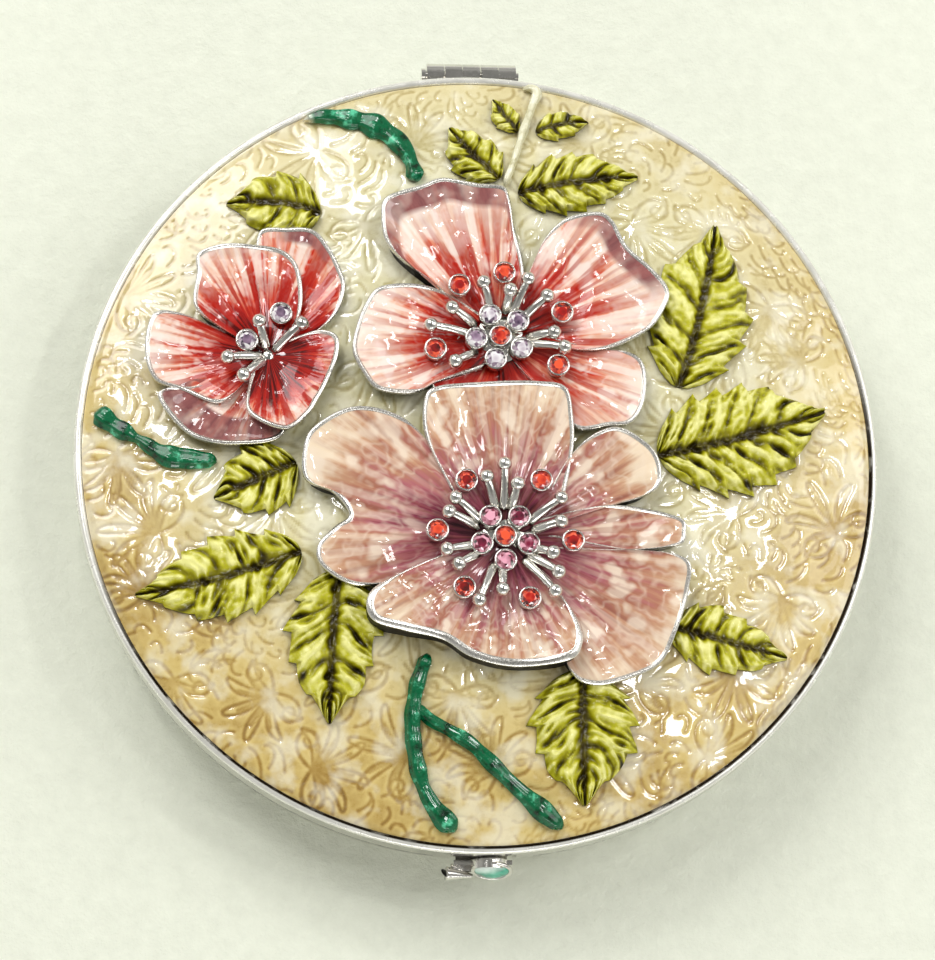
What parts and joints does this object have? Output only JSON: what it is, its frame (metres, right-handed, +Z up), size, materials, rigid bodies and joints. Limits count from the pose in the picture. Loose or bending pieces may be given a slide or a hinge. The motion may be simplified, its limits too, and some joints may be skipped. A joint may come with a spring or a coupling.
{
  "type": "pill box",
  "caption": "Round hinged pill box with an enamelled lid in high floral relief, a sprung front catch, a divided pill tray and a lid mirror.",
  "frame": {"origin": "centre of the flat face that the box rests on, on the axis of the round pan", "axes": "+Z up through the lid, +Y towards the hinge, -Y towards the catch, +X to the right seen from the catch side"},
  "size_m": [0.07, 0.0734, 0.0158],
  "materials": {
    "polished_silver": "polished silver plate",
    "cream_enamel": "translucent gloss enamel over an embossed ground",
    "dusty_pink_enamel": "shaded gloss enamel",
    "red_enamel": "shaded gloss enamel",
    "green_enamel": "shaded gloss enamel",
    "teal_enamel": "translucent gloss enamel",
    "pale_enamel": "gloss enamel",
    "red_crystal": "faceted",
    "pink_crystal": "faceted",
    "clear_crystal": "faceted",
    "teal_stone": "polished cabochon",
    "spring_steel": "bright",
    "mirror_glass": "silvered glass",
    "card": "matt",
    "tray_plastic": "moulded"
  },
  "bodies": {
    "base": {"base_shell": "polished_silver", "pill_tray": "tray_plastic", "latch_housing": "polished_silver", "latch_spring": "spring_steel", "hinge_base_leaf": "polished_silver", "hinge_pin": "polished_silver"},
    "lid": {"hinge_lid_leaf": "polished_silver", "lid_shell": "polished_silver", "enamel_panel": "cream_enamel", "lid_catch": "polished_silver", "mirror": "mirror_glass", "mirror_backing": "card", "mirror_ring": "polished_silver", "front_flower": "dusty_pink_enamel", "middle_flower": "red_enamel", "side_flower": "red_enamel", "front_stamens": "polished_silver", "middle_stamens": "polished_silver", "side_stamens": "polished_silver", "front_cups": "polished_silver", "middle_cups": "polished_silver", "side_cups": "polished_silver", "red_crystals": "red_crystal", "pink_crystals": "pink_crystal", "clear_crystals": "clear_crystal", "leaf_upper_left": "green_enamel", "leaf_fern_left": "green_enamel", "leaf_fern_top": "green_enamel", "leaf_fern_right": "green_enamel", "leaf_upper_right": "green_enamel", "leaf_right_tall": "green_enamel", "leaf_right_wide": "green_enamel", "leaf_lower_right": "green_enamel", "leaf_bottom": "green_enamel", "leaf_lower_left_long": "green_enamel", "leaf_lower_left_down": "green_enamel", "leaf_left_small": "green_enamel", "stem_top": "teal_enamel", "stem_left": "teal_enamel", "stem_forked": "teal_enamel", "stem_fern": "pale_enamel"},
    "latch": {"latch_button": "polished_silver", "latch_stone": "teal_stone"}
  },
  "joints": [
    {"name": "lid_hinge", "type": "hinge", "parent": "base", "child": "lid", "pos_m": [0, 0.036, 0.00713], "axis": [-1, 0, 0], "range_deg": [0, 110]},
    {"name": "latch_push", "type": "slide", "parent": "base", "child": "latch", "axis": [0, 1, 0], "range_m": [0, 0.0005], "stiffness_N_per_m": 400}
  ]
}
